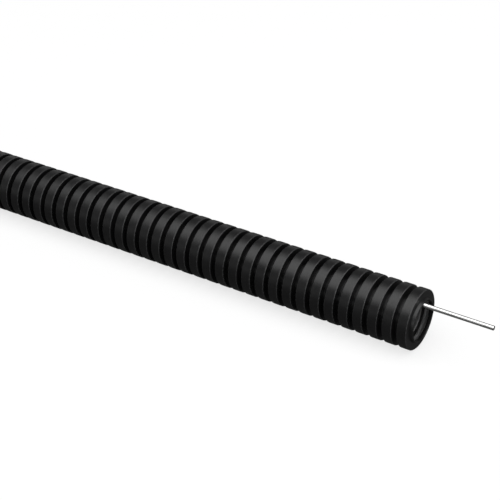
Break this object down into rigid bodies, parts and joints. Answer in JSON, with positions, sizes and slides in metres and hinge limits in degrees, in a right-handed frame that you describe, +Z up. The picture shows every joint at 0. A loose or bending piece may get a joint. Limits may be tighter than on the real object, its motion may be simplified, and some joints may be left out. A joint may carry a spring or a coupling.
{
  "type": "corrugated conduit with pull wire",
  "caption": "Straight length of black ring-corrugated flexible plastic conduit with a steel pull wire inside, for routing and protecting cables.",
  "frame": {"origin": "on the floor under the middle of the conduit's length", "axes": "+X along the conduit towards the end that the picture shows, +Z up"},
  "size_m": [1.0372, 0.016, 0.016],
  "materials": {
    "black_plastic": "black moulded polyethylene, satin, with a fine uneven surface",
    "steel_wire": "bright drawn steel wire"
  },
  "bodies": {
    "root": {"corrugated_tube": "black_plastic", "pull_wire": "steel_wire"}
  },
  "joints": []
}
